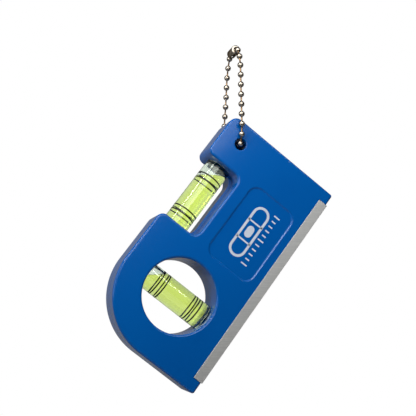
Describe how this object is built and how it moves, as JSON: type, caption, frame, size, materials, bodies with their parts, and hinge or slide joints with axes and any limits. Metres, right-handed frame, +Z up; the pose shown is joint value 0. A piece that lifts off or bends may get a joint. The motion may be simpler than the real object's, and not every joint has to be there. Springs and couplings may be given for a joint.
{
  "type": "pocket spirit level",
  "caption": "Blue pocket spirit level hanging from a ball-chain loop, with a level vial in a top notch, an upright vial in a round window and an aluminium base rail.",
  "frame": {"origin": "middle of the chain's connector, where a hand or hook holds the level", "axes": "+Z up along the hanging chain, +Y towards the back of the level, X across it; the base slopes up at 53 degrees towards +X"},
  "size_m": [0.0771, 0.0236, 0.1202],
  "materials": {
    "blue_abs": "satin",
    "aluminium": "brushed",
    "clear_acrylic": "polished",
    "vial_liquid": "clear",
    "air_bubble": "clear",
    "black_ink": "printed",
    "nickel_plate": "plated"
  },
  "bodies": {
    "connector": {"chain_connector": "nickel_plate"},
    "chain": {"chain_bead_01": "nickel_plate", "chain_bead_02": "nickel_plate", "chain_bead_03": "nickel_plate", "chain_bead_04": "nickel_plate", "chain_bead_05": "nickel_plate", "chain_bead_06": "nickel_plate", "chain_bead_07": "nickel_plate", "chain_bead_08": "nickel_plate", "chain_bead_09": "nickel_plate", "chain_bead_10": "nickel_plate", "chain_bead_11": "nickel_plate", "chain_bead_12": "nickel_plate", "chain_bead_13": "nickel_plate", "chain_bead_14": "nickel_plate", "chain_bead_15": "nickel_plate", "chain_bead_16": "nickel_plate", "chain_bead_17": "nickel_plate", "chain_bead_18": "nickel_plate", "chain_bead_19": "nickel_plate", "chain_bead_20": "nickel_plate", "chain_bead_21": "nickel_plate", "chain_bead_22": "nickel_plate", "chain_bead_23": "nickel_plate", "chain_bead_24": "nickel_plate", "chain_bead_25": "nickel_plate", "chain_bead_26": "nickel_plate", "chain_bead_27": "nickel_plate", "chain_bead_28": "nickel_plate"},
    "level": {"front_shell": "blue_abs", "rear_shell": "blue_abs", "base_rail": "aluminium", "level_vial_tube": "clear_acrylic", "level_vial_plug": "clear_acrylic", "level_vial_liquid": "vial_liquid", "level_vial_ring_1": "black_ink", "level_vial_ring_2": "black_ink", "level_vial_ring_3": "black_ink", "level_vial_ring_4": "black_ink", "plumb_vial_tube": "clear_acrylic", "plumb_vial_plug": "clear_acrylic", "plumb_vial_liquid": "vial_liquid", "plumb_vial_ring_1": "black_ink", "plumb_vial_ring_2": "black_ink", "plumb_vial_ring_3": "black_ink", "plumb_vial_ring_4": "black_ink"},
    "level_bubble": {"level_vial_bubble": "air_bubble"},
    "plumb_bubble": {"plumb_vial_bubble": "air_bubble"}
  },
  "joints": [
    {"name": "chain_swing", "type": "hinge", "parent": "connector", "child": "chain", "pos_m": [0, 0, 0], "axis": [0, 1, 0], "range_deg": [-60, 60]},
    {"name": "level_swing", "type": "hinge", "parent": "chain", "child": "level", "pos_m": [0, 0, -0.0352], "axis": [0, 1, 0], "range_deg": [-90, 90]},
    {"name": "level_bubble_slide", "type": "slide", "parent": "level", "child": "level_bubble", "axis": [-0.6018, 0, -0.7986], "range_m": [0, 0.0183]},
    {"name": "plumb_bubble_slide", "type": "slide", "parent": "level", "child": "plumb_bubble", "axis": [0.7986, 0, -0.6018], "range_m": [0, 0.0162]}
  ]
}
